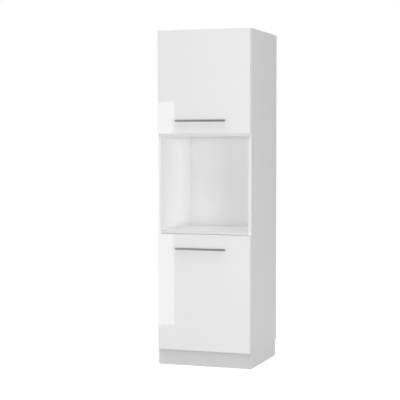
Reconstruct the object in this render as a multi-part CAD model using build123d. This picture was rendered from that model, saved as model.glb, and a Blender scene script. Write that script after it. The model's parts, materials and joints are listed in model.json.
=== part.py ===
from build123d import *
import os

# Tall kitchen unit for a built-in oven. Millimetres, +Z up, front towards -Y.
# Everything is modelled with y = 0 at the front edges of the carcass and moved at the
# end, so that the origin lies on the floor below the middle of the whole unit.

# Carcass
carcass_width = 600.0
carcass_height = 2070.0
carcass_depth = 560.0
board = 16.0
plinth_height = 97.0
plinth_recess = 3.0
lower_clear_height = 705.0
niche_clear_height = 584.0
skirting_notch_depth = 20.0
skirting_notch_height = 97.0

# Back sheets in their grooves, and the profiles that join them
back_sheet = 3.0
back_inset = 6.0
groove_depth = 8.0
groove_gap = 0.2
back_top_gap = 2.0
strip_flange = 1.0
strip_web = 1.5
strip_height = 14.0
strip_gap = 0.2

# Loose shelves, their pins and the rows of holes
loose_shelf_rear_gap = 31.0
loose_shelf_setback = 20.0
loose_shelf_side_gap = 1.0
pin_radius = 2.5
pin_hole_depth = 9.0
pin_reach = 8.0
pin_front_row = 69.0
pin_row_spacing = 384.0
pin_pitch = 32.0
pin_holes_per_row = 3

# Cam locks, cam dowels and wooden dowels
cam_radius = 7.5
cam_depth = 12.5
cam_setback = 24.0
cam_slot = 7.6
cam_key_width = 1.2
cam_key_depth = 2.0
cam_front_row = 60.0
cam_rear_row = 480.0
cam_bore_radius = 3.5
cam_dowel_radius = 2.5
cam_dowel_head_radius = 3.4
cam_dowel_head = 3.0
side_boring = 11.0
dowel_radius = 4.0
dowel_length = 30.0
dowel_setback = 270.0
plinth_dowel_low = 28.0
plinth_dowel_spacing = 40.0
fit_gap = 0.05

# Doors
door_thickness = 16.0
door_gap = 3.0
door_side_reveal = 2.0
door_top_reveal = 2.0
door_shelf_reveal = 1.0
door_shelf_gap = 1.0
door_edge_radius = 1.0
bumper_radius = 4.0
bumper_gap = 0.1
bumper_edge = 7.0
bumper_bevel = 1.0

# Bar handles
handle_length = 320.0
handle_hole_spacing = 256.0
handle_height = 12.0
handle_thickness = 9.0
handle_reach = 35.0
handle_edge_radius = 1.5
handle_centre_x = -12.0
upper_handle_from_edge = 80.0
lower_handle_from_edge = 89.0
handle_post_radius = 5.0
handle_screw_radius = 2.0
handle_screw_bite = 12.0
handle_screw_head_radius = 4.5
handle_screw_head = 2.4
handle_hole_radius = 2.4

# Concealed cup hinges: cup in the door, link with two pins, arm on a mounting plate
hinge_from_door_end = 100.0
cup_radius = 17.5
cup_depth = 12.5
cup_wall = 0.8
cup_edge_distance = 4.0
cup_bore_gap = 0.1
cup_flange = 1.2
cup_flange_radius = 19.0
cup_ear_radius = 6.0
cup_screw_spacing = 48.0
cup_screw_offset = 6.0
cup_screw_radius = 1.7
cup_screw_length = 11.0
cup_screw_head_radius = 3.4
cup_screw_head = 1.2
cup_lug = 7.5
cup_pin_from_edge = 11.5
cup_pin_depth = 3.0
cup_pin_bite = 3.0
hinge_pin_radius = 1.5
hinge_running_gap = 0.05
link_width = 14.0
link_thickness = 2.2
link_eye_radius = 3.0
link_side_gap = 0.3
link_bend_from_edge = 21.0
link_bend_depth = 9.0
arm_pin_from_side = 19.0
arm_pin_setback = 6.0
arm_nose_radius = 4.0
arm_wall = 1.6
arm_web_offset = 3.0
arm_web_start = 12.0
arm_length = 64.0
plate_base = 3.0
plate_gap = 0.2
plate_front = 18.0
plate_length = 54.0
plate_base_width = 22.0
plate_spine = 8.0
plate_wing_row = 37.0
plate_wing_width = 14.0
plate_wing_length = 48.0
plate_screw_spacing = 32.0
plate_screw_radius = 3.0
plate_screw_head_radius = 4.6
plate_screw_head = 1.5
arm_screw_row = 50.0
arm_screw_radius = 2.5
arm_screw_bite = 5.0
arm_screw_head_radius = 4.2
arm_screw_head = 1.2

# Wall angles under the top panel
wall_angle_leg = 40.0
wall_angle_width = 24.0
wall_angle_sheet = 2.0
wall_angle_spacing = 440.0
wall_hole_radius = 3.25
wall_hole_drop = 24.0
angle_screw_radius = 2.0
angle_screw_length = 13.0
angle_screw_head_radius = 4.0
angle_screw_head = 2.0
angle_screw_pitch = 18.0
angle_screw_inset = 12.0

# Planes and levels worked out from the sizes above
half_width = carcass_width / 2
side_inner = half_width - board
bottom_top = plinth_height + board
oven_shelf_low = bottom_top + lower_clear_height
niche_floor = oven_shelf_low + board
niche_ceiling = niche_floor + niche_clear_height
niche_top = niche_ceiling + board
top_low = carcass_height - board
sheet_front = carcass_depth - back_inset - back_sheet
sheet_rear = sheet_front + back_sheet
board_rear = sheet_front - strip_flange - 2 * strip_gap
sheet_low = max(plinth_height, skirting_notch_height)
sheet_top = carcass_height - back_top_gap
door_half = half_width - door_side_reveal
door_rear = -door_gap
door_face = door_rear - door_thickness
lower_door_low = plinth_height
lower_door_top = oven_shelf_low - door_shelf_gap
upper_door_low = niche_top - door_shelf_reveal
upper_door_top = carcass_height - door_top_reveal
upper_handle_z = upper_door_low + upper_handle_from_edge
lower_handle_z = lower_door_top - lower_handle_from_edge
upper_hinges = (upper_door_low + hinge_from_door_end, upper_door_top - hinge_from_door_end)
lower_hinges = (lower_door_low + hinge_from_door_end, lower_door_top - hinge_from_door_end)
handle_front = door_face - handle_reach
lower_shelf_pin_z = (bottom_top + oven_shelf_low) / 2
upper_shelf_pin_z = (niche_top + top_low) / 2
cup_x = door_half - cup_edge_distance - cup_radius
cup_screw_x = cup_x - cup_screw_offset
cup_pin_x = door_half - cup_pin_from_edge
cup_pin_y = door_rear - cup_pin_depth
arm_pin_x = side_inner - arm_pin_from_side
link_bend_x = door_half - link_bend_from_edge
link_bend_y = door_rear - link_bend_depth
cheek_inner = link_width / 2 + plate_gap
cheek_outer = cheek_inner + arm_wall
plate_inner = side_inner - plate_base
spine_top = plate_inner - plate_spine
arm_web_x = arm_pin_x - arm_web_offset
arm_end = arm_pin_setback + arm_length
middle_y = (handle_front + carcass_depth) / 2


def block(x0, x1, y0, y1, z0, z1):
    """Box between two opposite corners."""
    return Pos((x0 + x1) / 2, (y0 + y1) / 2, (z0 + z1) / 2) * Box(x1 - x0, y1 - y0, z1 - z0)


def rod_x(radius, x0, x1, y, z):
    """Round bar along X."""
    return Pos((x0 + x1) / 2, y, z) * Rot(0, 90, 0) * Cylinder(radius, abs(x1 - x0))


def rod_y(radius, y0, y1, x, z):
    """Round bar along Y."""
    return Pos(x, (y0 + y1) / 2, z) * Rot(90, 0, 0) * Cylinder(radius, abs(y1 - y0))


def rod_z(radius, z0, z1, x, y):
    """Round bar along Z."""
    return Pos(x, y, (z0 + z1) / 2) * Cylinder(radius, abs(z1 - z0))


def group(shapes):
    """Separate solids that share one sub-part."""
    return Compound([solid for shape in shapes for solid in shape.solids()])


# Carcass boards

fixed_boards = {
    "bottom_panel": (plinth_height, -1),
    "oven_shelf": (oven_shelf_low, -1),
    "niche_top_shelf": (niche_ceiling, 1),
    "top_panel": (top_low, -1),
}
board_centres = [low + board / 2 for low, cam_face in fixed_boards.values()]
cam_rows = (cam_front_row, cam_rear_row)
plinth_dowel_levels = (plinth_dowel_low, plinth_dowel_low + plinth_dowel_spacing)
plinth_middle = plinth_recess + board / 2
dowel_bite = dowel_length - side_boring


def pin_hole_levels():
    """Heights of the shelf pin holes in both compartments."""
    middle = (pin_holes_per_row - 1) / 2
    return [
        level + (step - middle) * pin_pitch
        for level in (lower_shelf_pin_z, upper_shelf_pin_z)
        for step in range(pin_holes_per_row)
    ]


def dowel_places():
    """y and z of each wooden dowel in a side panel."""
    in_boards = [(dowel_setback, z) for z in board_centres]
    return in_boards + [(plinth_middle, z) for z in plinth_dowel_levels]


def side_panel(side):
    """Side panel with back groove, skirting notch and all its borings; side is -1 or 1."""
    inner = side * side_inner
    outer = side * half_width
    panel = block(min(inner, outer), max(inner, outer), 0, carcass_depth, 0, carcass_height)
    groove_x = sorted((inner, inner + side * groove_depth))
    cuts = [
        block(*groove_x, sheet_front - groove_gap, sheet_rear + groove_gap, 0, carcass_height),
        block(
            -half_width, half_width, carcass_depth - skirting_notch_depth, carcass_depth,
            0, skirting_notch_height,
        ),
    ]
    bored = inner + side * side_boring
    for y in cam_rows:
        cuts += [rod_x(cam_dowel_radius + fit_gap, inner, bored, y, z) for z in board_centres]
    cuts += [rod_x(dowel_radius + fit_gap, inner, bored, y, z) for y, z in dowel_places()]
    for y in (pin_front_row, pin_front_row + pin_row_spacing):
        for z in pin_hole_levels():
            cuts.append(rod_x(pin_radius + fit_gap, inner, inner + side * pin_hole_depth, y, z))
    if side > 0:
        for z in upper_hinges + lower_hinges:
            for step in (-1, 1):
                level = z + step * plate_screw_spacing / 2
                cuts.append(rod_x(plate_screw_radius + fit_gap, inner, bored, plate_wing_row, level))
    return panel - cuts


def fixed_board(low, cam_face):
    """Board between the sides, bored for cams and dowels; cam_face is -1 below or 1 above."""
    panel = block(-side_inner, side_inner, 0, board_rear, low, low + board)
    centre = low + board / 2
    face = low if cam_face < 0 else low + board
    cuts = []
    for side in (-1, 1):
        cam_x = side * (side_inner - cam_setback)
        for y in cam_rows:
            cuts.append(rod_z(cam_radius + fit_gap, face, face - cam_face * cam_depth, cam_x, y))
            cuts.append(rod_x(cam_bore_radius, cam_x, side * side_inner, y, centre))
        dowel_tip = side * (side_inner - dowel_bite)
        cuts.append(rod_x(dowel_radius + fit_gap, dowel_tip, side * side_inner, dowel_setback, centre))
    return panel - cuts


def plinth_board():
    """Board that closes the space below the bottom panel."""
    panel = block(-side_inner, side_inner, plinth_recess, plinth_recess + board, 0, plinth_height)
    cuts = [
        rod_x(dowel_radius + fit_gap, side * (side_inner - dowel_bite), side * side_inner, plinth_middle, z)
        for side in (-1, 1)
        for z in plinth_dowel_levels
    ]
    return panel - cuts


def back_panel(low, high):
    """Thin sheet that slides in the grooves of the side panels."""
    reach = side_inner + groove_depth - 2 * groove_gap
    return block(-reach, reach, sheet_front, sheet_rear, low, high)


def upper_back_panel():
    """Top sheet, with clearance holes for the two wall screws."""
    sheet = back_panel(niche_top - board / 2 + strip_web / 2 + strip_gap, sheet_top)
    level = top_low - wall_hole_drop
    holes = [rod_y(wall_hole_radius, sheet_front, sheet_rear, x, level) for x in wall_angle_places()]
    return sheet - holes


def joint_strip(level):
    """H-section profile that joins two back sheets behind a fixed shelf."""
    reach = side_inner - strip_gap
    front = sheet_front - strip_gap
    rear = sheet_rear + strip_gap
    half = strip_height / 2
    web = block(-reach, reach, front, rear, level - strip_web / 2, level + strip_web / 2)
    front_flange = block(-reach, reach, front - strip_flange, front, level - half, level + half)
    rear_flange = block(-reach, reach, rear, rear + strip_flange, level - half, level + half)
    return web + front_flange + rear_flange


def loose_shelf(pin_level):
    """Shelf that rests on four pins."""
    reach = side_inner - loose_shelf_side_gap
    low = pin_level + pin_radius
    rear = sheet_front - loose_shelf_rear_gap
    return block(-reach, reach, loose_shelf_setback, rear, low, low + board)


# Fittings of the carcass

def shelf_pin(side, y, z):
    """Plain steel pin, half of it in its hole."""
    inner = side * side_inner
    return rod_x(pin_radius, inner + side * (pin_hole_depth - fit_gap), inner - side * pin_reach, y, z)


def shelf_pins(level):
    """The four pins below one loose shelf."""
    rows = (pin_front_row, pin_front_row + pin_row_spacing)
    return group(shelf_pin(side, y, level) for side in (-1, 1) for y in rows)


def cam_lock(side, y, low, cam_face):
    """Eccentric drum with the slot that takes the head of the cam dowel."""
    face = low if cam_face < 0 else low + board
    x = side * (side_inner - cam_setback)
    inner_end = face - cam_face * (cam_depth - fit_gap)
    drum = rod_z(cam_radius, face, inner_end, x, y)
    slot_z = sorted((face - cam_face * (board / 2 - cam_slot / 2), inner_end))
    slot_x = sorted((x - side * cam_slot / 2, x + side * (cam_radius + fit_gap)))
    key_x = (x - cam_radius / 2, x + cam_radius / 2)
    key_z = sorted((face, face - cam_face * cam_key_depth))
    key = block(*key_x, y - cam_key_width / 2, y + cam_key_width / 2, *key_z)
    return drum - [block(*slot_x, y - cam_slot / 2, y + cam_slot / 2, *slot_z), key]


def cam_dowel(side, y, z):
    """Threaded dowel that ends in a head inside the cam lock."""
    inner = side * side_inner
    neck = cam_setback - cam_dowel_head / 2
    shank = rod_x(cam_dowel_radius, inner + side * (side_boring - fit_gap), inner - side * neck, y, z)
    head = rod_x(cam_dowel_head_radius, inner - side * neck, inner - side * (neck + cam_dowel_head), y, z)
    return shank + head


def wood_dowel(side, y, z):
    """Plain dowel, half in the side panel and half in the board."""
    inner = side * side_inner
    tip = inner + side * (side_boring - fit_gap)
    return rod_x(dowel_radius, tip, tip - side * (dowel_length - 2 * fit_gap), y, z)


def wall_angle_places():
    """x of the two wall angles."""
    return (-wall_angle_spacing / 2, wall_angle_spacing / 2)


def angle_screw_rows():
    """y of the two screws of a wall angle."""
    first = sheet_front - wall_angle_leg + angle_screw_inset
    return (first, first + angle_screw_pitch)


def wall_angle(x):
    """Steel angle under the top panel, with one hole for the wall screw."""
    half = wall_angle_width / 2
    front = sheet_front - wall_angle_leg
    flat = block(x - half, x + half, front, sheet_front, top_low - wall_angle_sheet, top_low)
    inside = sheet_front - wall_angle_sheet
    upright = block(x - half, x + half, inside, sheet_front, top_low - wall_angle_leg, top_low)
    holes = [rod_y(wall_hole_radius, inside, sheet_front, x, top_low - wall_hole_drop)]
    for y in angle_screw_rows():
        holes.append(rod_z(angle_screw_radius + fit_gap, top_low - wall_angle_sheet, top_low, x, y))
    return flat + upright - holes


def angle_screw(x, y):
    """Screw up through the wall angle into the top panel."""
    seat = top_low - wall_angle_sheet
    head = rod_z(angle_screw_head_radius, seat - angle_screw_head, seat, x, y)
    return head + rod_z(angle_screw_radius, seat, top_low + angle_screw_length, x, y)


def top_panel():
    """Top board, with the pilot holes of the wall angles' screws."""
    pilots = [
        rod_z(angle_screw_radius + fit_gap, top_low, top_low + angle_screw_length + fit_gap, x, y)
        for x in wall_angle_places()
        for y in angle_screw_rows()
    ]
    return fixed_board(*fixed_boards["top_panel"]) - pilots


# Doors and handles

def handle_posts_x():
    """x of the two posts of a handle."""
    return (handle_centre_x - handle_hole_spacing / 2, handle_centre_x + handle_hole_spacing / 2)


def door(low, high, hinge_levels, handle_z):
    """Flat door with rounded front edges, cup bores, screw pilots and handle holes."""
    panel = block(-door_half, door_half, door_face, door_rear, low, high)
    front_edges = panel.faces().sort_by(Axis.Y)[0].edges()
    panel = fillet(front_edges, door_edge_radius)
    cuts = [rod_y(handle_hole_radius, door_face, door_rear, x, handle_z) for x in handle_posts_x()]
    for z in hinge_levels:
        cup_floor = door_rear - cup_depth - cup_bore_gap
        cuts.append(rod_y(cup_radius + cup_bore_gap, cup_floor, door_rear, cup_x, z))
        for step in (-1, 1):
            screw_end = door_rear - cup_screw_length - fit_gap
            level = z + step * cup_screw_spacing / 2
            cuts.append(rod_y(cup_screw_radius + fit_gap, screw_end, door_rear, cup_screw_x, level))
    return panel - cuts


def handle_bar(z):
    """Straight bar with eased edges."""
    half = handle_length / 2
    low = z - handle_height / 2
    bar = block(
        handle_centre_x - half, handle_centre_x + half, handle_front, handle_front + handle_thickness,
        low, low + handle_height,
    )
    return fillet(bar.edges().filter_by(Axis.X), handle_edge_radius)


def handle_post(x, z):
    """Round post between door and bar, tapped for the machine screw."""
    post = rod_y(handle_post_radius, handle_front + handle_thickness, door_face, x, z)
    return post - rod_y(handle_screw_radius + fit_gap, door_face - handle_screw_bite, door_face, x, z)


def handle_screw(x, z):
    """Machine screw from inside the door into the post."""
    shank = rod_y(handle_screw_radius, door_face - handle_screw_bite + fit_gap, door_rear, x, z)
    return shank + rod_y(handle_screw_head_radius, door_rear, door_rear + handle_screw_head, x, z)


def door_bumper(z):
    """Soft round stop on the inside of the door's free corner."""
    x = -door_half + bumper_edge
    dot = rod_y(bumper_radius, door_rear, -bumper_gap, x, z)
    rim = dot.faces().sort_by(Axis.Y)[-1].edges()
    return chamfer(rim, bumper_bevel)


# Cup hinges, drawn at z = 0 and moved to their level

def hinge_cup():
    """Pressed cup with oval flange and the two lugs that hold the cup pin."""
    floor = door_rear - cup_depth
    body = rod_y(cup_radius, floor, door_rear, cup_x, 0)
    half = cup_screw_spacing / 2
    ear_outline = SlotCenterToCenter(cup_screw_spacing, 2 * cup_ear_radius, rotation=90)
    ears = Pos(cup_screw_x, door_rear + cup_flange, 0) * Rot(90, 0, 0) * extrude(ear_outline, cup_flange)
    flange = rod_y(cup_flange_radius, door_rear, door_rear + cup_flange, cup_x, 0) + ears
    hollow = rod_y(cup_radius - cup_wall, floor + cup_wall, door_rear + cup_flange, cup_x, 0)
    lug_face = link_width / 2 + link_side_gap
    lug_x = cup_pin_x - cup_lug
    lugs = [
        block(lug_x, cup_x + cup_radius, floor, door_rear, *sorted((step * lug_face, step * cup_radius)))
        for step in (-1, 1)
    ]
    hollow -= lugs
    pin_end = lug_face + cup_pin_bite + fit_gap
    holes = [rod_z(hinge_pin_radius + fit_gap, -pin_end, pin_end, cup_pin_x, cup_pin_y)]
    holes += [
        rod_y(cup_screw_radius + fit_gap, door_rear, door_rear + cup_flange, cup_screw_x, step * half)
        for step in (-1, 1)
    ]
    return body + flange - hollow - holes


def cup_screw(level):
    """Wood screw through the flange into the door."""
    seat = door_rear + cup_flange
    head = rod_y(cup_screw_head_radius, seat, seat + cup_screw_head, cup_screw_x, level)
    return head + rod_y(cup_screw_radius, door_rear - cup_screw_length, seat, cup_screw_x, level)


def cup_pin():
    """Pin across the cup, on which the door turns."""
    half = link_width / 2 + link_side_gap + cup_pin_bite
    return rod_z(hinge_pin_radius, -half, half, cup_pin_x, cup_pin_y)


def arm_pin():
    """Pin across the arm, on which the link turns."""
    return rod_z(hinge_pin_radius, -cheek_outer, cheek_outer, arm_pin_x, arm_pin_setback)


def link_leg(start, end):
    """Flat face of one straight stretch of the link, with round ends."""
    run = Vector(*end) - Vector(*start)
    middle = (Vector(*start) + Vector(*end)) / 2
    angle = run.get_signed_angle(Vector(1, 0, 0), Vector(0, 0, -1))
    return Pos(middle.X, middle.Y) * Rot(0, 0, angle) * SlotCenterToCenter(run.length, link_thickness)


def hinge_link():
    """Swan-neck link between the two pins; it folds into the cup and clears the door's edge."""
    bend = (link_bend_x, link_bend_y)
    eyes = ((arm_pin_x, arm_pin_setback), (cup_pin_x, cup_pin_y))
    face = link_leg(eyes[0], bend) + link_leg(bend, eyes[1])
    face += [Pos(*eye) * Circle(link_eye_radius) for eye in eyes]
    face -= [Pos(*eye) * Circle(hinge_pin_radius + hinge_running_gap) for eye in eyes]
    return extrude(face, link_width / 2, both=True)


def hinge_arm():
    """Channel-shaped arm: two cheeks that hold the arm pin, joined by a web."""
    tail = Polyline(
        (arm_web_x, arm_web_start), (arm_web_x, arm_end), (plate_inner - plate_gap, arm_end),
        (plate_inner - plate_gap, plate_front),
    )
    nose = Pos(arm_pin_x, arm_pin_setback) * Circle(arm_nose_radius)
    cheek = make_hull(tail.edges() + nose.edges())
    cheek = extrude(cheek, arm_wall)
    web = block(arm_web_x, arm_web_x + arm_wall, arm_web_start, arm_end, -cheek_outer, cheek_outer)
    cheeks = [Pos(0, 0, cheek_inner) * cheek, Pos(0, 0, -cheek_outer) * cheek]
    pin_hole = rod_z(hinge_pin_radius + fit_gap, -cheek_outer, cheek_outer, arm_pin_x, arm_pin_setback)
    screw_hole = rod_x(arm_screw_radius + fit_gap, arm_web_x, arm_web_x + arm_wall, arm_screw_row, 0)
    return web + cheeks - [pin_hole, screw_hole]


def mounting_plate():
    """Plate screwed to the side panel, with two wings and a spine under the arm."""
    rear = plate_front + plate_length
    half_base = plate_base_width / 2
    base = block(plate_inner, side_inner, plate_front, rear, -half_base, half_base)
    wing = Rot(0, 90, 0) * extrude(SlotOverall(plate_wing_length, plate_wing_width), plate_base)
    wing = Pos(plate_inner, plate_wing_row, 0) * wing
    half_spine = link_width / 2
    spine = block(spine_top, plate_inner, plate_front, rear, -half_spine, half_spine)
    hole_radius = plate_screw_radius + fit_gap
    holes = [
        rod_x(hole_radius, plate_inner, side_inner, plate_wing_row, step * plate_screw_spacing / 2)
        for step in (-1, 1)
    ]
    screw_end = spine_top + arm_screw_bite + fit_gap
    holes.append(rod_x(arm_screw_radius + fit_gap, spine_top, screw_end, arm_screw_row, 0))
    return base + wing + spine - holes


def plate_screw(level):
    """Flat-headed screw from the plate into the side panel."""
    y = plate_wing_row
    head = rod_x(plate_screw_head_radius, plate_inner - plate_screw_head, plate_inner, y, level)
    return head + rod_x(plate_screw_radius, plate_inner, side_inner + side_boring - fit_gap, y, level)


def arm_screw():
    """Adjusting screw that holds the arm on the spine of the plate."""
    head = rod_x(arm_screw_head_radius, arm_web_x - arm_screw_head, arm_web_x, arm_screw_row, 0)
    return head + rod_x(arm_screw_radius, arm_web_x, spine_top + arm_screw_bite, arm_screw_row, 0)


def at_levels(shape, levels):
    """Copies of one hinge piece at the hinge levels."""
    return group(Pos(0, 0, z) * shape for z in levels)


def hinge_parts(name, levels):
    """Every piece of the hinges of one door."""
    cup_screws = group(cup_screw(step * cup_screw_spacing / 2) for step in (-1, 1))
    plate_screws = group(plate_screw(step * plate_screw_spacing / 2) for step in (-1, 1))
    return {
        name + "_hinge_cups": at_levels(hinge_cup(), levels),
        name + "_hinge_cup_screws": at_levels(cup_screws, levels),
        name + "_hinge_cup_pins": at_levels(cup_pin(), levels),
        name + "_hinge_links": at_levels(hinge_link(), levels),
        name + "_hinge_arm_pins": at_levels(arm_pin(), levels),
        name + "_hinge_arms": at_levels(hinge_arm(), levels),
        name + "_hinge_arm_screws": at_levels(arm_screw(), levels),
        name + "_hinge_plates": at_levels(mounting_plate(), levels),
        name + "_hinge_plate_screws": at_levels(plate_screws, levels),
    }


def door_parts(name, low, high, levels, handle_z):
    """A door with its handle, bumpers and hinges."""
    parts = {
        name + "_door": door(low, high, levels, handle_z),
        name + "_handle_bar": handle_bar(handle_z),
        name + "_handle_posts": group(handle_post(x, handle_z) for x in handle_posts_x()),
        name + "_handle_screws": group(handle_screw(x, handle_z) for x in handle_posts_x()),
        name + "_door_bumpers": group(door_bumper(z) for z in (low + bumper_edge, high - bumper_edge)),
    }
    return parts | hinge_parts(name, levels)


def carcass_parts():
    """Boards, sheets and fittings that don't move."""
    strip_levels = (oven_shelf_low + board / 2, niche_top - board / 2)
    sheet_cut = strip_web / 2 + strip_gap
    sides = (-1, 1)
    cams = [
        cam_lock(side, y, low, cam_face)
        for low, cam_face in fixed_boards.values()
        for side in sides
        for y in cam_rows
    ]
    cam_dowels = [cam_dowel(side, y, z) for side in sides for z in board_centres for y in cam_rows]
    angle_screws = [angle_screw(x, y) for x in wall_angle_places() for y in angle_screw_rows()]
    return {
        "left_side_panel": side_panel(-1),
        "right_side_panel": side_panel(1),
        "bottom_panel": fixed_board(*fixed_boards["bottom_panel"]),
        "oven_shelf": fixed_board(*fixed_boards["oven_shelf"]),
        "niche_top_shelf": fixed_board(*fixed_boards["niche_top_shelf"]),
        "top_panel": top_panel(),
        "plinth_board": plinth_board(),
        "lower_back_panel": back_panel(sheet_low, strip_levels[0] - sheet_cut),
        "niche_back_panel": back_panel(strip_levels[0] + sheet_cut, strip_levels[1] - sheet_cut),
        "upper_back_panel": upper_back_panel(),
        "back_joint_strips": group(joint_strip(level) for level in strip_levels),
        "lower_shelf": loose_shelf(lower_shelf_pin_z),
        "upper_shelf": loose_shelf(upper_shelf_pin_z),
        "lower_shelf_pins": shelf_pins(lower_shelf_pin_z),
        "upper_shelf_pins": shelf_pins(upper_shelf_pin_z),
        "cam_locks": group(cams),
        "cam_dowels": group(cam_dowels),
        "wood_dowels": group(wood_dowel(side, y, z) for side in sides for y, z in dowel_places()),
        "wall_angles": group(wall_angle(x) for x in wall_angle_places()),
        "wall_angle_screws": group(angle_screws),
    }


def build():
    """Write one file for each sub-part."""
    parts = carcass_parts()
    parts |= door_parts("upper", upper_door_low, upper_door_top, upper_hinges, upper_handle_z)
    parts |= door_parts("lower", lower_door_low, lower_door_top, lower_hinges, lower_handle_z)
    os.makedirs("parts", exist_ok=True)
    for name, shape in parts.items():
        export_step(Pos(0, -middle_y, 0) * shape, f"parts/{name}.step")


build()
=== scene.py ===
"""Oven housing cabinet: finishes, screw heads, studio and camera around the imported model."""
import json
import math

import bmesh
import bpy
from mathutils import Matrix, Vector


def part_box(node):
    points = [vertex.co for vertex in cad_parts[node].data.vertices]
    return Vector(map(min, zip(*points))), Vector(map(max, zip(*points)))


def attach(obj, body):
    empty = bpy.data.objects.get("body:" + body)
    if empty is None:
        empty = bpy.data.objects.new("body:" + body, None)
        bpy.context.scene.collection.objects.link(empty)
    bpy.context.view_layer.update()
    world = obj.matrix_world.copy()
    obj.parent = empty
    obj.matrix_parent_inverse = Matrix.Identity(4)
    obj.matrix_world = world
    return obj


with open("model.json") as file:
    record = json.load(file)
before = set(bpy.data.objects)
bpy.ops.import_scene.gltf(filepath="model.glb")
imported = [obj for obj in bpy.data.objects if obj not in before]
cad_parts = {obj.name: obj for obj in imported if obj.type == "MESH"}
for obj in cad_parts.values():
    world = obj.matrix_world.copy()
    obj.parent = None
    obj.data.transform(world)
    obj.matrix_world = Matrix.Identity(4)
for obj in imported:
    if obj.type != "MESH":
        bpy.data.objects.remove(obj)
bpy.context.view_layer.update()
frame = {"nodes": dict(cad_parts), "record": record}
nodes = frame["nodes"]
scene = bpy.context.scene
scene.view_settings.view_transform = "Standard"

MM = 0.001

LOW, HIGH = 0, 1

# Camera, where the photograph was taken from: metres, millimetres of sensor and degrees
image_side = 400.0
focal_pixels = 1205.2
sensor_width = 36.0
camera_place = (2.4165, -7.2307, 1.3620)
camera_angles = (87.415, 0.025, 19.308)

# Floor and surroundings
floor_tone = 0.30
floor_glow = 0.91
floor_reach = 30.0
room_light = 0.15

# Tones, as linear red, green and blue
melamine_white = (0.86, 0.86, 0.86)
# Painted shade under the lower door: darker white of the plinth board, also used at the foot of the side
# panels' front bands
painted_shade_white = (0.685, 0.685, 0.685)
# Painted shade on the oven shelf's front edge, above the lower door's top
oven_shelf_painted_shade = (0.70, 0.70, 0.70)
joint_brown = (0.30, 0.28, 0.26)
foil_white = (0.86, 0.86, 0.86)
back_white = (0.84, 0.84, 0.84)
chip_light = (0.62, 0.45, 0.28)
chip_dark = (0.20, 0.115, 0.060)
hardboard_brown = (0.235, 0.125, 0.062)
fibreboard_brown = (0.42, 0.27, 0.15)
steel_grey = (0.21, 0.21, 0.215)
nickel_tone = (0.66, 0.645, 0.615)
zinc_tone = (0.62, 0.64, 0.66)
die_cast_tone = (0.50, 0.51, 0.52)
profile_white = (0.84, 0.84, 0.83)
bumper_tone = (0.86, 0.87, 0.88)
beech_light = (0.66, 0.46, 0.29)
beech_dark = (0.42, 0.25, 0.13)

# Whites of a board's faces, of its front band and of the band beside the plinth; the darker whites of the
# plinth board, of the bands beside it and of the oven shelf's band are painted shade
plain_board = (melamine_white, melamine_white, melamine_white)
board_whites_and_painted_shades = {
    "plinth_board": (painted_shade_white, painted_shade_white, painted_shade_white),
    "oven_shelf": (melamine_white, oven_shelf_painted_shade, oven_shelf_painted_shade),
    "left_side_panel": (melamine_white, melamine_white, painted_shade_white),
    "right_side_panel": (melamine_white, melamine_white, painted_shade_white),
}

# Covers of boards and doors, and the roughness of bare wood
skin_depth = 0.4 * MM
band_thickness = 0.9 * MM
half_joint = 0.12 * MM
joint_share = 0.35
# Height above the plinth over which the painted shade on the front bands fades out
painted_shade_reach = 200.0 * MM
foil_depth = 1.3 * MM
bare_roughness = 0.85
hardboard_roughness = 0.62

# Least part of a normal along a direction for a face that points that way
roughly_facing = 0.6
squarely_facing = 0.9

# Range in which most of a noise lies
noise_range = (0.3, 0.7)

# Rise of the domed heads
cup_head_rise = 0.9 * MM
plate_head_rise = 1.1 * MM
arm_head_rise = 1.0 * MM
handle_head_rise = 1.2 * MM
angle_head_rise = 1.0 * MM

# Plan of a domed head and its cross recess, in shares of the head's radius
cross_arm = 0.50
cross_half_width = 0.14
dome_rings = (0.93, 0.80, 0.64)

# Heights of a domed head, in shares of its rise
rim_height = 0.36
dome_fall = 0.55
cross_floor_height = 0.22
cross_tip_height = 0.08

# Narrowing of the cross towards its floor, curve of the dome, and least angle of a sharp edge
cross_taper = 0.88
dome_power = 2.4
crease_angle = 34.0

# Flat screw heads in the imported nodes: slack of their plane, and a length between the
# widest head and the narrowest gap from one head to the next
plane_slack = 0.02 * MM
head_span = 9.5 * MM

# Lamps close to the walls of the niche
fill_gap = 7.0 * MM
fill_back_gap = 6.0 * MM
fill_rear_margin = 3.0 * MM
fill_width = 0.55
fill_depth = 0.50
fill_height = 0.57


# Node trees


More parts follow.
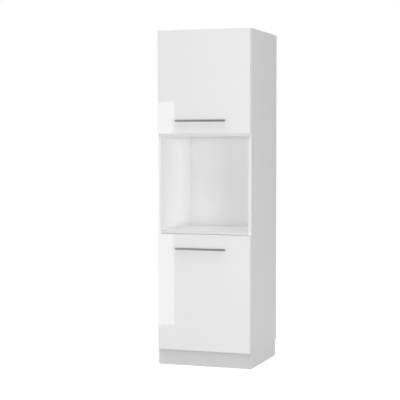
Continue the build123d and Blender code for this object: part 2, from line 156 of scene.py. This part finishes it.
class Tree:
    """Adds nodes to a node tree and links them."""

    def __init__(self, tree):
        self.nodes = tree.nodes
        self.links = tree.links

    def add(self, kind, settings=None, inputs=None):
        """New node with the given properties; an input is a value or a socket to link."""
        node = self.nodes.new(kind)
        for key, value in (settings or {}).items():
            setattr(node, key, value)
        for key, value in (inputs or {}).items():
            if isinstance(value, bpy.types.NodeSocket):
                self.link(value, node.inputs[key])
            else:
                node.inputs[key].default_value = value
        return node

    def link(self, source, target):
        """Links one output to one input."""
        self.links.new(source, target)

    def math(self, operation, first, second=0.0, third=0.0):
        """Output of one Math node."""
        inputs = {0: first, 1: second, 2: third}
        return self.add("ShaderNodeMath", {"operation": operation}, inputs).outputs[0]

    def times(self, value, share):
        """Value times a number."""
        return self.math("MULTIPLY", value, share)

    def sum(self, first, first_share, second, second_share):
        """Sum of two numbers, each times its own share."""
        return self.math("MULTIPLY_ADD", first, first_share, self.times(second, second_share))

    def both(self, first, second):
        """Mask that holds where both masks do."""
        return self.math("MULTIPLY", first, second)

    def either(self, first, second):
        """Mask that holds where one of the masks does."""
        return self.math("MAXIMUM", first, second)

    def vector(self, operation, first, second):
        """Vector output of one Vector Math node."""
        node = self.add("ShaderNodeVectorMath", {"operation": operation}, {0: first, 1: second})
        return node.outputs["Vector"]

    def dot(self, first, second):
        """Dot product of two vectors."""
        node = self.add("ShaderNodeVectorMath", {"operation": "DOT_PRODUCT"}, {0: first, 1: second})
        return node.outputs["Value"]

    def stretch(self, place, direction, share):
        """Place plus a share of its own part along a direction, which flattens or draws out a pattern."""
        inputs = {0: direction, "Scale": self.times(self.dot(place, direction), share)}
        part = self.add("ShaderNodeVectorMath", {"operation": "SCALE"}, inputs)
        return self.vector("ADD", place, part.outputs["Vector"])

    def split(self, value):
        """The three outputs of one Separate XYZ node."""
        return self.add("ShaderNodeSeparateXYZ", None, {0: value}).outputs

    def choose(self, mask, first, second):
        """Number that is first where the mask is 0 and second where it is 1."""
        # Sockets of a Mix node share their titles, so they go by number
        inputs = {0: mask, 2: first, 3: second}
        return self.add("ShaderNodeMix", {"data_type": "FLOAT"}, inputs).outputs[0]

    def colour(self, mask, first, second, way="MIX"):
        """Colour mixed from two, which are sockets or three numbers each."""
        settings = {"data_type": "RGBA", "blend_type": way}
        inputs = {0: mask}
        for key, side in ((6, first), (7, second)):
            inputs[key] = side if isinstance(side, bpy.types.NodeSocket) else (*side, 1.0)
        return self.add("ShaderNodeMix", settings, inputs).outputs[2]

    def tinted(self, colour, tint):
        """Colour times a tint."""
        return self.colour(1.0, colour, tint, "MULTIPLY")

    def spread(self, value, source, target):
        """Value carried from one range to another and held inside it."""
        inputs = {"Value": value, "From Min": source[0], "From Max": source[1]}
        inputs.update({"To Min": target[0], "To Max": target[1]})
        return self.add("ShaderNodeMapRange", {"clamp": True}, inputs).outputs["Result"]

    def vary(self, noise, low, high):
        """Number from low to high that follows a noise."""
        return self.spread(noise, noise_range, (low, high))

    def noise(self, place, scale, detail, roughness):
        """Noise from 0 to 1; scale is in waves per metre."""
        inputs = {"Vector": place, "Scale": scale, "Detail": detail, "Roughness": roughness}
        return self.add("ShaderNodeTexNoise", None, inputs).outputs["Fac"]

    def cells(self, place, scale):
        """Outputs of a pattern of cells; scale is in cells per metre."""
        return self.add("ShaderNodeTexVoronoi", None, {"Vector": place, "Scale": scale}).outputs

    def group(self, tree, inputs):
        """Outputs of one placed group."""
        return self.add("ShaderNodeGroup", {"node_tree": tree}, inputs).outputs


def new_group(name, takes, gives):
    """New empty group, with its tree, the outputs of its entry and the inputs of its exit."""
    made = bpy.data.node_groups.new(name, "ShaderNodeTree")
    for title, kind in takes.items():
        made.interface.new_socket(title, in_out="INPUT", socket_type="NodeSocket" + kind)
    for title, kind in gives.items():
        made.interface.new_socket(title, in_out="OUTPUT", socket_type="NodeSocket" + kind)
    tree = Tree(made)
    return made, tree, tree.add("NodeGroupInput").outputs, tree.add("NodeGroupOutput").inputs


def group_board_zones():
    """Where a board shows its faces and its banded front edge, and how deep a point lies in its core."""
    takes = dict.fromkeys(("Place", "Facing", "Middle", "Half", "Thickness"), "Vector")
    gives = dict.fromkeys(("Face", "Front Edge", "Depth", "Band Joint"), "Float")
    made, tree, given, out = new_group("board_zones", takes, gives)
    offset = tree.vector("SUBTRACT", given["Place"], given["Middle"])
    across = tree.math("ABSOLUTE", tree.dot(offset, given["Thickness"]))
    half_board = tree.dot(given["Half"], given["Thickness"])
    outwards = tree.math("ABSOLUTE", tree.dot(given["Facing"], given["Thickness"]))
    at_face = tree.math("GREATER_THAN", across, tree.math("SUBTRACT", half_board, skin_depth))
    face = tree.both(at_face, tree.math("GREATER_THAN", outwards, roughly_facing))
    tree.link(face, out["Face"])
    from_front = tree.math("ADD", tree.split(offset)[1], tree.split(given["Half"])[1])
    at_front = tree.math("LESS_THAN", from_front, skin_depth)
    forwards = tree.math("LESS_THAN", tree.split(given["Facing"])[1], -roughly_facing)
    tree.link(tree.both(forwards, at_front), out["Front Edge"])
    tree.link(tree.math("SUBTRACT", 1.0, tree.math("DIVIDE", across, half_board)), out["Depth"])
    joint = tree.math("COMPARE", from_front, band_thickness, half_joint)
    tree.link(tree.both(joint, face), out["Band Joint"])
    return made


def group_chipboard():
    """Bare chipboard: flat chips, coarser in the middle of the board than under its faces."""
    takes = {"Place": "Vector", "Thickness": "Vector", "Depth": "Float"}
    made, tree, given, out = new_group("chipboard", takes, {"Color": "Color", "Height": "Float"})
    flattened = tree.stretch(given["Place"], given["Thickness"], 1.6)
    coarse = tree.cells(flattened, 330.0)
    fine = tree.cells(flattened, 900.0)
    dust = tree.noise(flattened, 1500.0, detail=3.0, roughness=0.6)
    in_middle = tree.spread(given["Depth"], (0.2, 0.5), (0.0, 1.0))
    chips = tree.choose(in_middle, tree.split(fine["Color"])[0], tree.split(coarse["Color"])[0])
    shade = tree.spread(tree.sum(dust, 0.5, chips, 0.7), (0.15, 0.95), (0.0, 1.0))
    tree.link(tree.colour(shade, chip_dark, chip_light), out["Color"])
    gaps = tree.choose(in_middle, fine["Distance"], coarse["Distance"])
    tree.link(tree.times(gaps, -0.25), out["Height"])
    return made


def group_fibres():
    """Pressed wood fibres of hardboard and fibreboard: cloudy tone with short pale and dark hairs."""
    takes = {"Place": "Vector", "Tone": "Color"}
    made, tree, given, out = new_group("pressed_fibres", takes, {"Color": "Color", "Height": "Float"})
    waves = tree.add("ShaderNodeTexNoise", None, {"Vector": given["Place"], "Scale": 160.0, "Detail": 2.0})
    shift = tree.vector("MULTIPLY", waves.outputs["Color"], (4.0 * MM, 4.0 * MM, 4.0 * MM))
    bent = tree.vector("ADD", given["Place"], shift)
    upright = tree.vector("MULTIPLY", bent, (1.0, 1.0, 0.22))
    hairs = tree.noise(upright, 1300.0, detail=3.0, roughness=0.65)
    clouds = tree.noise(given["Place"], 14.0, detail=4.0, roughness=0.6)
    shade = tree.math("ADD", tree.vary(hairs, 0.72, 1.22), tree.vary(clouds, -0.05, 0.05))
    tree.link(tree.tinted(given["Tone"], shade), out["Color"])
    tree.link(tree.times(hairs, 0.06), out["Height"])
    return made


def group_pearl():
    """Fine pearl of a pressed white surface: its tint, roughness and height in millimetres."""
    takes = {"Place": "Vector", "Grain": "Float", "Matt": "Float"}
    gives = {"Tint": "Float", "Roughness": "Float", "Height": "Float"}
    made, tree, given, out = new_group("pressed_pearl", takes, gives)
    pearl = tree.noise(given["Place"], given["Grain"], detail=2.0, roughness=0.55)
    clouds = tree.noise(given["Place"], 7.0, detail=3.0, roughness=0.5)
    tree.link(tree.vary(clouds, 0.994, 1.006), out["Tint"])
    uneven = tree.math("ADD", tree.vary(pearl, -0.05, 0.05), tree.vary(clouds, -0.02, 0.02))
    tree.link(tree.math("ADD", given["Matt"], uneven), out["Roughness"])
    tree.link(tree.times(pearl, 0.02), out["Height"])
    return made


def group_brushing():
    """Fine lines of brushed or rolled metal along one direction, from 0 to 1."""
    takes = {"Place": "Vector", "Direction": "Vector"}
    made, tree, given, out = new_group("brushing", takes, {"Lines": "Float"})
    drawn_out = tree.stretch(given["Place"], given["Direction"], -0.985)
    broad = tree.noise(drawn_out, 1400.0, detail=2.0, roughness=0.6)
    thin = tree.noise(drawn_out, 6000.0, detail=2.0, roughness=0.6)
    tree.link(tree.sum(thin, 0.55, broad, 0.45), out["Lines"])
    return made


def group_plating():
    """Plated or cast metal: cloudy tint, uneven shine and a fine grain in millimetres."""
    takes = {"Place": "Vector", "Grain": "Float", "Shine": "Float"}
    gives = {"Tint": "Float", "Roughness": "Float", "Height": "Float"}
    made, tree, given, out = new_group("plating", takes, gives)
    clouds = tree.noise(given["Place"], 220.0, detail=4.0, roughness=0.6)
    grain = tree.noise(given["Place"], given["Grain"], detail=2.0, roughness=0.5)
    tree.link(tree.vary(clouds, 0.94, 1.04), out["Tint"])
    uneven = tree.math("ADD", tree.vary(clouds, -0.04, 0.04), tree.vary(grain, -0.04, 0.04))
    tree.link(tree.math("ADD", given["Shine"], uneven), out["Roughness"])
    tree.link(tree.times(grain, 0.012), out["Height"])
    return made


board_zones = group_board_zones()
chipboard = group_chipboard()
pressed_fibres = group_fibres()
pressed_pearl = group_pearl()
brushing = group_brushing()
plating = group_plating()


# Finishes


class Finish(Tree):
    """Node tree of a new material, with its shader and the place and facing of the shaded point."""

    def __init__(self, name, metallic=0.0):
        self.material = bpy.data.materials.new(name)
        self.material.use_nodes = True
        super().__init__(self.material.node_tree)
        self.shader = self.nodes["Principled BSDF"]
        self.shader.inputs["Metallic"].default_value = metallic
        where = self.add("ShaderNodeTexCoord").outputs
        self.place = where["Object"]
        self.facing = where["Normal"]

    def cover(self, colour, roughness, height):
        """Links colour, roughness and a relief in millimetres to the shader, and gives the material."""
        self.link(colour, self.shader.inputs["Base Color"])
        self.link(roughness, self.shader.inputs["Roughness"])
        relief = self.add("ShaderNodeBump", None, {"Strength": 1.0, "Distance": MM, "Height": height})
        self.link(relief.outputs["Normal"], self.shader.inputs["Normal"])
        return self.material


def middle_and_half(node_name):
    """Middle and half size of a node's box."""
    low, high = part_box(node_name)
    return (low + high) / 2, (high - low) / 2


def melamine_board(node_name, face_white_and_painted_shade, band_white_and_painted_shade, foot_painted_shade):
    """White melamine faces and a front band; bare chipboard elsewhere. A darker foot tone paints shade on
    the band at the plinth, fading out above it.
    """
    finish = Finish("melamine_" + node_name)
    middle, half = middle_and_half(node_name)
    thickness = [1.0 if size == min(half) else 0.0 for size in half]
    where = {"Place": finish.place, "Thickness": thickness}
    zones = finish.group(board_zones, {**where, "Facing": finish.facing, "Middle": middle, "Half": half})
    covered = finish.either(zones["Face"], zones["Front Edge"])
    core = finish.group(chipboard, {**where, "Depth": zones["Depth"]})
    skin = finish.group(pressed_pearl, {"Place": finish.place, "Grain": 1700.0, "Matt": 0.42})
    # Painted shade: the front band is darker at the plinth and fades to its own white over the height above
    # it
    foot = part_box("plinth_board")[HIGH].z
    painted_shade_fade = finish.spread(finish.split(finish.place)[2], (foot, foot + painted_shade_reach), (0.0, 1.0))
    band_and_painted_shade = finish.colour(painted_shade_fade, foot_painted_shade, band_white_and_painted_shade)
    skin_colour = finish.tinted(finish.colour(zones["Front Edge"], face_white_and_painted_shade, band_and_painted_shade), skin["Tint"])
    skin_colour = finish.colour(finish.times(zones["Band Joint"], joint_share), skin_colour, joint_brown)
    return finish.cover(
        colour=finish.colour(covered, core["Color"], skin_colour),
        roughness=finish.choose(covered, bare_roughness, skin["Roughness"]),
        height=finish.choose(covered, core["Height"], skin["Height"]),
    )


def gloss_door(node_name):
    """High-gloss white foil on the front and edges, matt white behind, bare fibreboard in the bores."""
    finish = Finish("gloss_" + node_name)
    middle, half = middle_and_half(node_name)
    offset = finish.split(finish.vector("SUBTRACT", finish.place, middle))
    at_side = finish.math("GREATER_THAN", finish.math("ABSOLUTE", offset[0]), half[0] - foil_depth)
    at_end = finish.math("GREATER_THAN", finish.math("ABSOLUTE", offset[2]), half[2] - foil_depth)
    at_front = finish.math("LESS_THAN", offset[1], foil_depth - half[1])
    at_rear = finish.math("GREATER_THAN", offset[1], half[1] - foil_depth)
    backwards = finish.math("GREATER_THAN", finish.split(finish.facing)[1], squarely_facing)
    behind = finish.both(at_rear, backwards)
    shell = finish.either(finish.either(at_side, at_end), finish.either(at_front, behind))
    core = finish.group(pressed_fibres, {"Place": finish.place, "Tone": (*fibreboard_brown, 1.0)})
    skin = finish.group(pressed_pearl, {"Place": finish.place, "Grain": 1700.0, "Matt": 0.40})
    gloss = finish.vary(finish.noise(finish.place, 5.0, detail=4.0, roughness=0.6), 0.015, 0.030)
    ripple = finish.times(finish.noise(finish.place, 95.0, detail=1.0, roughness=0.4), 0.0012)
    roughness = finish.choose(behind, gloss, skin["Roughness"])
    height = finish.choose(behind, ripple, skin["Height"])
    return finish.cover(
        colour=finish.colour(shell, core["Color"], finish.tinted(foil_white, skin["Tint"])),
        roughness=finish.choose(shell, bare_roughness, roughness),
        height=finish.choose(shell, core["Height"], height),
    )


def hardboard_back():
    """Thin hardboard: white lacquer towards the inside, brown on the rear and on its edges."""
    finish = Finish("hardboard_back")
    inside = finish.math("LESS_THAN", finish.split(finish.facing)[1], -roughly_facing)
    fibres = finish.group(pressed_fibres, {"Place": finish.place, "Tone": (*hardboard_brown, 1.0)})
    lacquer = finish.group(pressed_pearl, {"Place": finish.place, "Grain": 1100.0, "Matt": 0.46})
    return finish.cover(
        colour=finish.colour(inside, fibres["Color"], finish.tinted(back_white, lacquer["Tint"])),
        roughness=finish.choose(inside, hardboard_roughness, lacquer["Roughness"]),
        height=finish.choose(inside, finish.times(fibres["Height"], 0.4), lacquer["Height"]),
    )


def brushed_handle_steel():
    """Dark brushed steel, brushed along the bar."""
    finish = Finish("brushed_handle_steel", metallic=1.0)
    lines = finish.group(brushing, {"Place": finish.place, "Direction": (1.0, 0.0, 0.0)})["Lines"]
    return finish.cover(
        colour=finish.tinted(steel_grey, finish.vary(lines, 0.86, 1.14)),
        roughness=finish.vary(lines, 0.27, 0.39),
        height=finish.times(lines, 0.006),
    )


def plated_metal(name, tone, grain, shine, rolled=0.0):
    """Nickel or zinc plating, or a bare casting; rolled adds the lines of rolled sheet."""
    finish = Finish(name, metallic=1.0)
    coat = finish.group(plating, {"Place": finish.place, "Grain": grain, "Shine": shine})
    lines = finish.group(brushing, {"Place": finish.place, "Direction": (0.0, 1.0, 0.0)})["Lines"]
    return finish.cover(
        colour=finish.tinted(tone, coat["Tint"]),
        roughness=finish.math("MULTIPLY_ADD", finish.vary(lines, -0.08, 0.08), rolled, coat["Roughness"]),
        height=finish.math("MULTIPLY_ADD", lines, 0.006 * rolled, coat["Height"]),
    )


def profile_plastic():
    """White extruded plastic with faint drawing lines along its length."""
    finish = Finish("profile_plastic")
    skin = finish.group(pressed_pearl, {"Place": finish.place, "Grain": 2600.0, "Matt": 0.36})
    lines = finish.group(brushing, {"Place": finish.place, "Direction": (1.0, 0.0, 0.0)})["Lines"]
    return finish.cover(
        colour=finish.tinted(profile_white, skin["Tint"]),
        roughness=skin["Roughness"],
        height=finish.times(lines, 0.02),
    )


def bumper_plastic():
    """Soft clear plastic of the door bumpers, with a faint haze."""
    finish = Finish("bumper_plastic")
    finish.shader.inputs["Transmission Weight"].default_value = 0.55
    finish.shader.inputs["IOR"].default_value = 1.46
    haze = finish.noise(finish.place, 900.0, detail=3.0, roughness=0.6)
    return finish.cover(
        colour=finish.tinted(bumper_tone, finish.vary(haze, 0.93, 1.05)),
        roughness=finish.vary(haze, 0.22, 0.38),
        height=finish.times(haze, 0.02),
    )


def beech_wood():
    """Steamed beech of the dowels, grain along the dowel with short dark flecks."""
    finish = Finish("beech_wood")
    long_grain = finish.vector("MULTIPLY", finish.place, (0.06, 1.0, 1.0))
    short_grain = finish.vector("MULTIPLY", finish.place, (0.2, 1.0, 1.0))
    grain = finish.noise(long_grain, 900.0, detail=4.0, roughness=0.6)
    flecks = finish.noise(short_grain, 2600.0, detail=1.0, roughness=0.5)
    colour = finish.colour(finish.spread(grain, (0.32, 0.68), (0.0, 1.0)), beech_light, beech_dark)
    return finish.cover(
        colour=finish.colour(finish.spread(flecks, (0.62, 0.70), (0.0, 0.7)), colour, beech_dark),
        roughness=finish.vary(grain, 0.5, 0.66),
        height=finish.times(grain, 0.06),
    )


# Finish of each material slot, apart from the boards' and doors' own
finishes = {
    "back_sheet": hardboard_back(),
    "handle_steel": brushed_handle_steel(),
    "hinge_nickel": plated_metal("nickel_plating", nickel_tone, grain=2400.0, shine=0.24, rolled=1.0),
    "zinc_steel": plated_metal("bright_zinc_plating", zinc_tone, grain=1800.0, shine=0.34),
    "cam_metal": plated_metal("die_cast_zinc", die_cast_tone, grain=1300.0, shine=0.48),
    "white_plastic": profile_plastic(),
    "clear_bumper": bumper_plastic(),
    "beech": beech_wood(),
}


def dress_nodes():
    """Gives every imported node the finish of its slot; boards and doors get one of their own."""
    for part in frame["record"]["subparts"]:
        name, slot = part["node"], part["material_slot"]
        if slot == "carcass_board":
            finish = melamine_board(name, *board_whites_and_painted_shades.get(name, plain_board))
        elif slot == "gloss_front":
            finish = gloss_door(name)
        else:
            finish = finishes[slot]
        nodes[name].data.materials[0] = finish


# Screw heads


def flat_heads(screws, outwards):
    """Middle and radius of each flat head in a node of screws, from the circles on its outermost plane."""
    points = [vertex.co for vertex in nodes[screws].data.vertices]
    reach = max(point.dot(outwards) for point in points)
    circles = []
    for point in points:
        if point.dot(outwards) < reach - plane_slack:
            continue
        near = [circle for circle in circles if (point - circle[0]).length < head_span]
        if near:
            near[0].append(point)
        else:
            circles.append([point])
    heads = []
    for circle in circles:
        low = Vector([min(point[axis] for point in circle) for axis in range(3)])
        high = Vector([max(point[axis] for point in circle) for axis in range(3)])
        middle = (low + high) / 2
        heads.append((middle, max((point - middle).length for point in circle)))
    return heads


def cross_outline(turn, arm, half_width):
    """Distance from the middle of a cross recess to its outline at one angle."""
    from_arm = abs((turn + math.pi / 4) % (math.pi / 2) - math.pi / 4)
    if math.tan(from_arm) * arm <= half_width:
        return arm / math.cos(from_arm)
    return half_width / math.sin(from_arm)


def add_cross_head(mesh, centre, outwards, radius, rise):
    """One domed screw head with a cross recess, standing on centre."""
    first = Vector((1, 0, 0)) if outwards.z else Vector((0, 0, 1))
    second = outwards.cross(first)
    arm, half_width = cross_arm * radius, cross_half_width * radius
    # Angles from one diagonal to the next; the recess's outline turns at corner
    corner = math.degrees(math.atan2(half_width, arm))
    steps = (-45.0, -36.0, -26.0, -corner, -corner / 2, 0.0, corner / 2, corner, 26.0, 36.0)
    turns = [math.radians(90.0 * quarter + step) for quarter in range(4) for step in steps]

    def ring(reach, lift):
        """Points around the head, at the distance and height that two functions give."""
        made = []
        for turn in turns:
            distance = reach(turn)
            side = first * math.cos(turn) + second * math.sin(turn)
            made.append(mesh.verts.new(centre + side * distance + outwards * lift(distance)))
        return made

    def dome(distance):
        """Height of the dome at a distance from its middle."""
        return rise * (1.0 - dome_fall * (distance / radius) ** dome_power)

    def cross(turn):
        """Distance to the recess's outline at one angle."""
        return cross_outline(turn, arm, half_width)

    rings = [ring(lambda turn: radius, lambda distance: 0.0)]
    rings.append(ring(lambda turn: radius, lambda distance: rim_height * rise))
    for share in dome_rings:
        rings.append(ring(lambda turn: share * radius, dome))
    rings.append(ring(cross, dome))
    floor_height = cross_floor_height * rise
    rings.append(ring(lambda turn: cross_taper * cross(turn), lambda distance: floor_height))
    for inner, outer in zip(rings[1:], rings):
        for index, vertex in enumerate(outer):
            after = (index + 1) % len(outer)
            mesh.faces.new((vertex, outer[after], inner[after], inner[index]))
    tip = mesh.verts.new(centre + outwards * cross_tip_height * rise)
    for index, vertex in enumerate(rings[-1]):
        mesh.faces.new((vertex, rings[-1][(index + 1) % len(rings[-1])], tip))


def add_screw_heads(name, screws, body, outwards, rise):
    """Domed heads on the flat ones of a node of screws, as one piece that rides on a body."""
    mesh = bmesh.new()
    for centre, radius in flat_heads(screws, outwards):
        add_cross_head(mesh, centre, outwards, radius, rise)
    bmesh.ops.recalc_face_normals(mesh, faces=mesh.faces)
    data = bpy.data.meshes.new(name)
    mesh.to_mesh(data)
    mesh.free()
    data.shade_smooth()
    data.set_sharp_from_angle(angle=math.radians(crease_angle))
    data.materials.append(finishes["zinc_steel"])
    piece = bpy.data.objects.new(name, data)
    scene.collection.objects.link(piece)
    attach(piece, body)


def add_all_screw_heads():
    """Screw heads of the hinges, handles and wall angles."""
    backwards, leftwards, downwards = Vector((0, 1, 0)), Vector((-1, 0, 0)), Vector((0, 0, -1))
    for door in ("upper", "lower"):
        kinds = (
            ("cup", "hinge_cup_screws", door + "_leaf", backwards, cup_head_rise),
            ("plate", "hinge_plate_screws", "cabinet", leftwards, plate_head_rise),
            ("arm", "hinge_arm_screws", "cabinet", leftwards, arm_head_rise),
            ("handle", "handle_screws", door + "_leaf", backwards, handle_head_rise),
        )
        for kind, screws, body, outwards, rise in kinds:
            add_screw_heads(f"{door}_{kind}_screw_heads", f"{door}_{screws}", body, outwards, rise)
    add_screw_heads("wall_angle_screw_heads", "wall_angle_screws", "cabinet", downwards, angle_head_rise)


# Studio


def add_camera():
    """Camera at the photograph's place and angle."""
    data = bpy.data.cameras.new("camera")
    data.sensor_width = sensor_width
    data.lens = focal_pixels * sensor_width / image_side
    camera = bpy.data.objects.new("camera", data)
    camera.location = camera_place
    camera.rotation_euler = [math.radians(angle) for angle in camera_angles]
    scene.collection.objects.link(camera)
    scene.camera = camera


def seen_directly(tree):
    """1 for what the camera, a mirror or glass sees, and 0 for light on the object."""
    path = tree.add("ShaderNodeLightPath").outputs
    seen = tree.either(path["Is Camera Ray"], path["Is Glossy Ray"])
    return tree.either(seen, path["Is Transmission Ray"])


def add_world():
    """White surroundings for the camera and for reflections, with a little even light on the object."""
    world = bpy.data.worlds.new("surroundings")
    scene.world = world
    world.use_nodes = True
    tree = Tree(world.node_tree)
    background = world.node_tree.nodes["Background"]
    background.inputs["Color"].default_value = (1, 1, 1, 1)
    tree.link(tree.either(seen_directly(tree), room_light), background.inputs["Strength"])


def add_floor():
    """Pale floor that shows as white, with the shadow at the unit's foot."""
    material = bpy.data.materials.new("studio_floor")
    material.use_nodes = True
    tree = Tree(material.node_tree)
    shader = material.node_tree.nodes["Principled BSDF"]
    shader.inputs["Base Color"].default_value = (floor_tone, floor_tone, floor_tone, 1)
    shader.inputs["Roughness"].default_value = 1.0
    shader.inputs["Specular IOR Level"].default_value = 0.0
    glow = tree.add("ShaderNodeEmission", None, {"Strength": tree.times(seen_directly(tree), floor_glow)})
    lit = tree.add("ShaderNodeAddShader", None, {0: shader.outputs[0], 1: glow.outputs[0]})
    tree.link(lit.outputs[0], material.node_tree.nodes["Material Output"].inputs["Surface"])
    plane = bpy.data.meshes.new("studio_floor")
    signs = ((-1, -1), (1, -1), (1, 1), (-1, 1))
    corners = [(floor_reach * across, floor_reach * along, 0.0) for across, along in signs]
    plane.from_pydata(corners, [], [(0, 1, 2, 3)])
    plane.materials.append(material)
    floor = bpy.data.objects.new("studio_floor", plane)
    scene.collection.objects.link(floor)


def place_lamp(name, data, direction):
    """Lamp that shines in a direction, and that neither the camera nor reflections show."""
    lamp = bpy.data.objects.new(name, data)
    lamp.rotation_euler = Vector(direction).to_track_quat("-Z", "Y").to_euler()
    lamp.visible_camera = False
    lamp.visible_glossy = False
    scene.collection.objects.link(lamp)
    return lamp


def add_far_lamp(name, direction, width, strength):
    """Broad, even light from far away; width is in degrees of sky."""
    data = bpy.data.lights.new(name, "SUN")
    data.angle = math.radians(width)
    data.energy = strength
    place_lamp(name, data, direction)


def add_softbox(name, place, direction, size, watts):
    """Rectangular lamp at place that shines in a direction; size is its width and height in metres."""
    data = bpy.data.lights.new(name, "AREA")
    data.shape = "RECTANGLE"
    data.size, data.size_y = size
    data.energy = watts
    lamp = place_lamp(name, data, direction)
    lamp.location = place
    return lamp


def add_softboxes():
    """Soft boxes in front, at the right, above and behind."""
    add_softbox("front_softbox", (0.0, -6.2, 1.05), (0, 1, 0), size=(3.0, 2.1), watts=68.0)
    add_softbox("right_softbox", (5.65, -5.85, 1.05), (-1, 1, 0), size=(4.0, 2.1), watts=286.0)
    add_softbox("high_softbox", (0.0, -4.06, 5.6), (0.0, 3.86, -4.6), size=(3.0, 3.0), watts=40.0)
    add_softbox("rear_softbox", (-3.0, 3.6, 4.2), (3.0, -3.5, -2.9), size=(3.0, 3.0), watts=225.0)


def add_niche_fills():
    """Lamps close to the right side, ceiling and back of the niche, which even out its light."""
    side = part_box("right_side_panel")[LOW].x
    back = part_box("niche_back_panel")[LOW].y
    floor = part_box("oven_shelf")[HIGH].z
    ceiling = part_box("niche_top_shelf")[LOW].z
    level = (floor + ceiling) / 2
    depth = back - fill_rear_margin - fill_depth / 2
    at_side = (side - fill_gap, depth, level)
    at_ceiling = (0.0, depth, ceiling - fill_gap)
    at_back = (0.0, back - fill_back_gap, level)
    add_softbox("niche_fill_side", at_side, (-1, 0, 0), size=(fill_depth, fill_height), watts=0.29)
    add_softbox("niche_fill_top", at_ceiling, (0, 0, -1), size=(fill_width, fill_depth), watts=0.14)
    add_softbox("niche_fill_back", at_back, (0, -1, 0), size=(fill_width, fill_height), watts=0.18)


def add_front_card():
    """Card that only reflections show, as a bright strip at the left of both doors."""
    card = add_softbox("front_card", (-0.6445, -1.253, 0.880), (0, 1, 0), size=(0.17, 1.577), watts=2.2)
    card.visible_glossy = True
    card.visible_diffuse = False


def add_far_lamps():
    """Two broad lamps from above."""
    add_far_lamp("overhead", (0.087, 0.150, -0.985), width=40.0, strength=0.84)
    add_far_lamp("high_right", (-0.383, 0.663, -0.643), width=50.0, strength=0.54)


# The whole scene

dress_nodes()
add_all_screw_heads()
add_camera()
add_world()
add_floor()
add_softboxes()
add_niche_fills()
add_front_card()
add_far_lamps()
